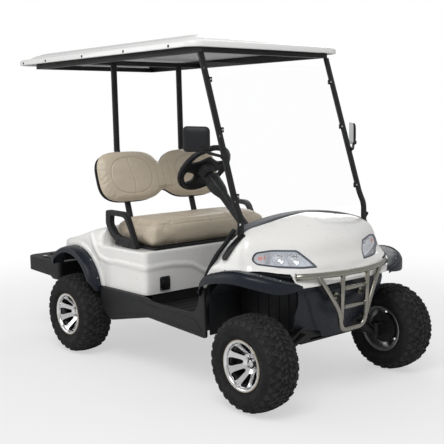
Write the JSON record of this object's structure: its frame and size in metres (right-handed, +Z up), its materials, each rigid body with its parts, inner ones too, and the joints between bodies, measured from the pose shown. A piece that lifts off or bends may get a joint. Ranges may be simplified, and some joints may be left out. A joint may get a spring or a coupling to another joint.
{
  "type": "golf cart",
  "caption": "Bench-seat electric golf cart with a long roof on posts, clear windshield, brush guard, wide tyres, steered front wheels, tilting seat lid and rear bag tray.",
  "frame": {"origin": "on the ground under the middle of the cart's overall length, on its centre plane", "axes": "+X towards the front, +Y to the cart's left, +Z up from the ground the tyres stand on"},
  "size_m": [2.666, 1.388, 1.975],
  "materials": {
    "body_white": "glossy pearl white moulded body",
    "flare_navy": "semi-gloss navy-black moulded plastic",
    "trim_black": "black textured moulded plastic",
    "cabin_grey": "dark grey moulded plastic",
    "frame_black": "black powder-coated steel",
    "seat_vinyl": "beige vinyl over foam",
    "pane_clear": "clear acrylic pane",
    "lens_clear": "clear lamp lens",
    "lens_red": "red lamp lens",
    "guard_steel": "satin stainless tube",
    "running_gear": "black painted steel and iron",
    "battery_case": "dark battery case",
    "rim_alloy": "machined cast alloy",
    "tyre_rubber": "black all-terrain tread rubber"
  },
  "bodies": {
    "chassis": {"front_cowl": "body_white", "rear_body": "body_white", "roof_top": "body_white", "front_fascia": "flare_navy", "front_flares": "flare_navy", "rear_flares": "flare_navy", "rocker_panels": "trim_black", "bag_tray": "trim_black", "charger_socket": "trim_black", "armrests": "trim_black", "mirrors": "trim_black", "steering_column": "trim_black", "pedals": "trim_black", "backrest_shell": "trim_black", "floor_pan": "cabin_grey", "dashboard": "cabin_grey", "chassis_frame": "frame_black", "windshield_posts": "frame_black", "roof_posts": "frame_black", "roof_frame": "frame_black", "backrest_cushion": "seat_vinyl", "windshield": "pane_clear", "headlights": "lens_clear", "tail_lights": "lens_red", "brush_guard": "guard_steel", "front_suspension": "running_gear", "rear_axle": "running_gear", "rear_springs": "running_gear", "battery_pack": "battery_case"},
    "seat_lid": {"seat_pan": "trim_black", "seat_cushion": "seat_vinyl"},
    "steering": {"steering_wheel": "trim_black"},
    "knuckle_l": {"knuckle_left": "running_gear"},
    "knuckle_r": {"knuckle_right": "running_gear"},
    "wheel_front_l": {"rim_front_left": "rim_alloy", "tyre_front_left": "tyre_rubber"},
    "wheel_front_r": {"rim_front_right": "rim_alloy", "tyre_front_right": "tyre_rubber"},
    "wheel_rear_l": {"rim_rear_left": "rim_alloy", "tyre_rear_left": "tyre_rubber"},
    "wheel_rear_r": {"rim_rear_right": "rim_alloy", "tyre_rear_right": "tyre_rubber"}
  },
  "joints": [
    {"name": "steer_left", "type": "hinge", "parent": "chassis", "child": "knuckle_l", "pos_m": [1.077, 0.42, 0.256], "axis": [0, 0, 1], "range_deg": [-28, 28]},
    {"name": "steer_right", "type": "hinge", "parent": "chassis", "child": "knuckle_r", "pos_m": [1.077, -0.42, 0.256], "axis": [0, 0, 1], "range_deg": [-28, 28]},
    {"name": "steering_turn", "type": "hinge", "parent": "chassis", "child": "steering", "pos_m": [0.332, -0.25, 1.221], "axis": [-0.7431, 0, 0.6691], "range_deg": [-336, 336]},
    {"name": "seat_lid_tilt", "type": "hinge", "parent": "chassis", "child": "seat_lid", "pos_m": [0.124, 0, 0.7263], "axis": [0, 1, 0], "range_deg": [0, 60]},
    {"name": "spin_front_left", "type": "hinge", "parent": "knuckle_l", "child": "wheel_front_l", "pos_m": [1.077, 0.562, 0.256], "axis": [0, 1, 0], "continuous": true},
    {"name": "spin_front_right", "type": "hinge", "parent": "knuckle_r", "child": "wheel_front_r", "pos_m": [1.077, -0.562, 0.256], "axis": [0, 1, 0], "continuous": true},
    {"name": "spin_rear_left", "type": "hinge", "parent": "chassis", "child": "wheel_rear_l", "pos_m": [-0.583, 0.58, 0.256], "axis": [0, 1, 0], "continuous": true},
    {"name": "spin_rear_right", "type": "hinge", "parent": "chassis", "child": "wheel_rear_r", "pos_m": [-0.583, -0.58, 0.256], "axis": [0, 1, 0], "continuous": true}
  ],
  "couplings": [
    {"joint": "steer_right", "follows": "steer_left", "ratio": 1},
    {"joint": "steering_turn", "follows": "steer_left", "ratio": 12}
  ]
}
